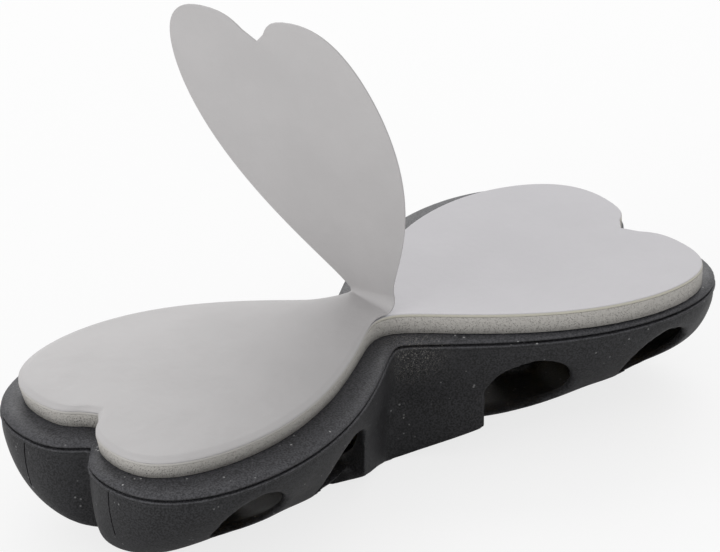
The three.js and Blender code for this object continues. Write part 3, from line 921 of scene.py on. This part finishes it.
class TRAP_OT_liner(Operator):
    """Release liner, flat on the left heart and peeled back and up from its fold on the right one"""

    bl_idname = "trap.liner"
    bl_label = "Trap liner"

    def execute(self, context):
        settings = context.scene.trap_liner
        bm = pad_layer(layer_rows(PAD_MARGIN, *LINER_HEIGHTS), context.scene.trap_pad.droop / MM)
        for i in range(settings.bend_cuts + 1):
            x = FOLD_X + lerp(*BEND_FILM, i / settings.bend_cuts)
            geometry = bm.verts[:] + bm.edges[:] + bm.faces[:]
            bmesh.ops.bisect_plane(bm, geom=geometry, plane_co=(x, 0, 0), plane_no=(1, 0, 0), dist=1e-5)
        for vert in bm.verts:
            vert.co.z -= PRESSED_BY * eased(vert.co.x - FOLD_X, *PRESSED_X)
            vert.co = self.folded(vert.co)
        liner = piece("liner", bm)
        film = release_film(settings.colour)
        dress(liner, SHARP_PAD, film, None, "release_liner", "liner_left", "liner_flap")
        start, end = (MM * (FOLD_POINT + BEND_ALONG * share) for share in BEND_SPAN)
        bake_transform(liner, "liner", "flap", start, end)
        return {"FINISHED"}

    def folded(self, point):
        """Place of a point of the flat film: on the pad, on the peeled flap or on the curve between."""
        peel = Matrix.Rotation(FOLD_ANGLE, 3, FOLD_AXIS)

        def laid(along):
            on_plate = PAD_PLACE @ Vector((FOLD_X + along, point.y, point.z))
            return on_plate + Vector((0, 0, crown(on_plate.x)))

        def peeled(along):
            return peel @ (laid(along) - FOLD_POINT) + FOLD_POINT

        along = point.x - FOLD_X
        first, last = BEND_FILM
        if along <= first:
            return laid(along)
        if along >= last:
            return peeled(along)
        start, end = laid(first), peeled(last)
        pull = BEND_PULL * (end - start).length
        ahead = PAD_PLACE.to_3x3() @ Vector((1, 0, 0))
        after_start, before_end = start + ahead * pull, end - peel @ ahead * pull
        return bezier(start, after_start, before_end, end, (along - first) / (last - first))


class TRAP_OT_cards(Operator):
    """Sticky cards under the plate, one in each heart, and their coats of insect glue"""

    bl_idname = "trap.cards"
    bl_label = "Trap cards"

    def execute(self, context):
        settings = context.scene.trap_lure
        card, glue = settings.card, settings.glue
        paper = mottled(
            Finish("paper_card", 0.85, 0.25), (1800, 5), rgba(card, 0.9), rgba(card, 1.06), 0.00004,
        )
        coat = mottled(
            Finish("sticky_coat", 0.12, 0.5, **{"Coat Weight": 0.6}),
            (260, 3), rgba(glue, 0.8), rgba(glue, 1.1), 0.0004,
        )
        for side, end in (("left", -1), ("right", 1)):
            layer = self.layer(f"card_{side}", CARD_INSET, CARD_HEIGHTS, CARD_ROUNDING, end, CARD_WAIST_X)
            dress(layer, SHARP_SOFTENED, paper, "plate", "paper_card", f"glue_card_{side}")
            layer = self.layer(f"glue_{side}", GLUE_INSET, GLUE_HEIGHTS, GLUE_ROUNDING, end, GLUE_WAIST_X)
            dress(layer, SHARP_SOFTENED, coat, "plate", "sticky_coat", f"glue_layer_{side}")
        return {"FINISHED"}

    def slab_rows(self, inset, low, high, round_by):
        """Rows of a slab whose lower and upper edges are rounded."""
        rows = [face_row(inset + round_by, low, share) for share in FACE_SHARES]
        for middle, start in ((low + round_by, -90), (high - round_by, 0)):
            for step in range(ROUNDING_STEPS + 1):
                turn = math.radians(start + 90 * step / ROUNDING_STEPS)
                at = inset + round_by * (1 - math.cos(turn))
                rows.append(face_row(at, middle + round_by * math.sin(turn)))
        return rows + [face_row(inset + round_by, high, share) for share in reversed(FACE_SHARES)]

    def layer(self, name, inset, heights, round_by, end, waist_x):
        """One heart's half of a slab, with a hole for the peg."""
        layer = piece(name, both_hearts(crowned(self.slab_rows(inset, *heights, round_by))))
        low, high = sorted((-end * REACH, end * waist_x))
        cutters = [
            piece("half", block((low, -REACH, 0), (high, REACH, REACH))),
            piece("hole", rod(CARD_HOLE_RADIUS, 0, CUT_TOP, end * PEG_X)),
        ]
        join(layer, cutters, "DIFFERENCE")
        return layer


class TRAP_OT_lure(Operator):
    """Lure at the waist: slotted cup, rubber dispenser and lid"""

    bl_idname = "trap.lure"
    bl_label = "Trap lure"

    def execute(self, context):
        settings = context.scene.trap_lure
        colour = settings.cup
        grey = mottled(
            Finish("moulded_grey", 0.45, 0.4), (3200, 3), rgba(colour, 0.85), rgba(colour, 1.15), 0.00005,
        )
        colour = settings.rubber
        rubber = mottled(
            Finish("lure_rubber", 0.75, 0.3),
            (900, 4), rgba(colour, 0.75), rgba(colour, 1.2), 0.00008, bump_grain=(3000, 3),
        )
        cup = piece("cup", turned(CUP_PROFILE))
        join(cup, turned_copies("slot", CUP_SLOTS, self.slot, 0.5), "DIFFERENCE")
        dress(cup, SHARP_MOULDED, grey, "shell", "moulded_grey", "lure_cup")
        dispenser = piece("dispenser", turned(DISPENSER_PROFILE))
        dress(dispenser, SHARP_MOULDED, rubber, "shell", "lure_rubber", "lure_septum")
        lid = piece("lid", turned(LID_PROFILE))
        join(lid, turned_copies("hole", LID_HOLES, self.lid_hole), "DIFFERENCE")
        dress(lid, SHARP_MOULDED, grey, "shell", "moulded_grey", "lure_lid")
        return {"FINISHED"}

    def slot(self):
        low, high = SLOT_HEIGHTS
        return block((0, -SLOT_HALF_WIDTH, low), (REACH, SLOT_HALF_WIDTH, high))

    def lid_hole(self):
        return rod(LID_HOLE_RADIUS, 0, CUT_TOP, LID_HOLE_X, LID_HOLE_STEPS)


class TRAP_OT_stage(Operator):
    """Pale floor, soft lamps, plain sky and the camera"""

    bl_idname = "trap.stage"
    bl_label = "Trap stage"

    def execute(self, context):
        settings = context.scene.trap_stage
        scene = context.scene
        self.floor()
        self.sky(scene, settings.sky)
        for name, (share, size, place) in LAMPS.items():
            self.lamp(name, settings.lamp_power * share, size, place)
        self.camera(scene)
        scene.view_settings.view_transform = "Standard"
        return {"FINISHED"}

    def floor(self):
        """Disc that looks nearly white to the camera and keeps the object's shadow."""
        bm = bmesh.new()
        bmesh.ops.create_circle(bm, cap_ends=True, segments=64, radius=FLOOR_RADIUS)
        floor = piece("floor", bm)
        material = bpy.data.materials.new("floor")
        material.use_nodes = True
        tree = material.node_tree
        tree.nodes.clear()
        diffuse = add_node(tree, "ShaderNodeBsdfDiffuse", {"Color": FLOOR_COLOUR})
        white = add_node(tree, "ShaderNodeEmission", {})
        seen = add_node(tree, "ShaderNodeLightPath", {})["Is Camera Ray"]
        share = add_node(tree, "ShaderNodeMath", {0: seen, 1: FLOOR_WHITE_SHARE}, operation="MULTIPLY")
        blend = add_node(tree, "ShaderNodeMixShader", {0: share[0], 1: diffuse[0], 2: white[0]})
        add_node(tree, "ShaderNodeOutputMaterial", {0: blend[0]})
        floor.data.materials.append(material)

    def sky(self, scene, strength):
        """Even light of a strength, which the camera and reflections see as white."""
        world = bpy.data.worlds.new("sky")
        scene.world = world
        world.use_nodes = True
        tree = world.node_tree
        background = tree.nodes["Background"]
        background.inputs["Color"].default_value = (1, 1, 1, 1)
        rays = add_node(tree, "ShaderNodeLightPath", {})
        seen = rays["Is Camera Ray"]
        for ray in ("Is Glossy Ray", "Is Transmission Ray"):
            seen = add_node(tree, "ShaderNodeMath", {0: seen, 1: rays[ray]}, operation="MAXIMUM")[0]
        level = add_node(tree, "ShaderNodeMapRange", {"Value": seen, "To Min": strength, "To Max": 1})
        tree.links.new(level[0], background.inputs["Strength"])

    def lamp(self, name, power, size, place):
        light = bpy.data.lights.new(name, "AREA")
        light.energy = power
        light.size = size
        lamp = bpy.data.objects.new(name, light)
        lamp.location = place
        lamp.rotation_euler = (-Vector(place)).to_track_quat("-Z", "Y").to_euler()
        bpy.context.scene.collection.objects.link(lamp)

    def camera(self, scene):
        back = Vector((
            -math.sin(AZIMUTH) * math.cos(ELEVATION),
            -math.cos(AZIMUTH) * math.cos(ELEVATION),
            math.sin(ELEVATION),
        ))
        right = (-back).cross(Vector((0, 0, 1))).normalized()
        up = right.cross(-back)
        across = right * math.cos(ROLL) + up * math.sin(ROLL)
        upward = up * math.cos(ROLL) - right * math.sin(ROLL)
        data = bpy.data.cameras.new("camera")
        data.lens = LENS
        data.sensor_width = SENSOR_WIDTH
        data.clip_end = CLIP_END
        camera = bpy.data.objects.new("camera", data)
        scene.collection.objects.link(camera)
        placed = Matrix((across, upward, back)).transposed().to_4x4()
        placed.translation = TARGET + back * DISTANCE
        camera.matrix_world = placed
        scene.camera = camera


OPERATORS = (
    TRAP_OT_housing, TRAP_OT_plate, TRAP_OT_pad, TRAP_OT_liner, TRAP_OT_cards, TRAP_OT_lure, TRAP_OT_stage,
)
SETTINGS = {
    "trap_housing": TrapHousingSettings,
    "trap_pad": TrapPadSettings,
    "trap_liner": TrapLinerSettings,
    "trap_lure": TrapLureSettings,
    "trap_stage": TrapStageSettings,
}


class TRAP_PT_sidebar(Panel):
    """Trap pieces and their settings"""

    bl_idname = "TRAP_PT_sidebar"
    bl_label = "Insect trap"
    bl_space_type = "VIEW_3D"
    bl_region_type = "UI"
    bl_category = "Insect trap"

    def draw(self, context):
        for operator in OPERATORS:
            self.layout.operator(operator.bl_idname)
        for name, group in SETTINGS.items():
            box = self.layout.box()
            for setting in group.__annotations__:
                box.prop(getattr(context.scene, name), setting)


def register():
    for group in SETTINGS.values():
        bpy.utils.register_class(group)
    for name, group in SETTINGS.items():
        setattr(bpy.types.Scene, name, PointerProperty(type=group))
    for item in (*OPERATORS, TRAP_PT_sidebar):
        bpy.utils.register_class(item)


def unregister():
    for item in (TRAP_PT_sidebar, *OPERATORS):
        bpy.utils.unregister_class(item)
    for name, group in SETTINGS.items():
        delattr(bpy.types.Scene, name)
        bpy.utils.unregister_class(group)


def main():
    register()
    bpy.ops.trap.housing()
    bpy.ops.trap.plate()
    bpy.ops.trap.pad()
    bpy.ops.trap.liner()
    bpy.ops.trap.cards()
    bpy.ops.trap.lure()
    bpy.ops.trap.stage()


if __name__ == "__main__":
    main()
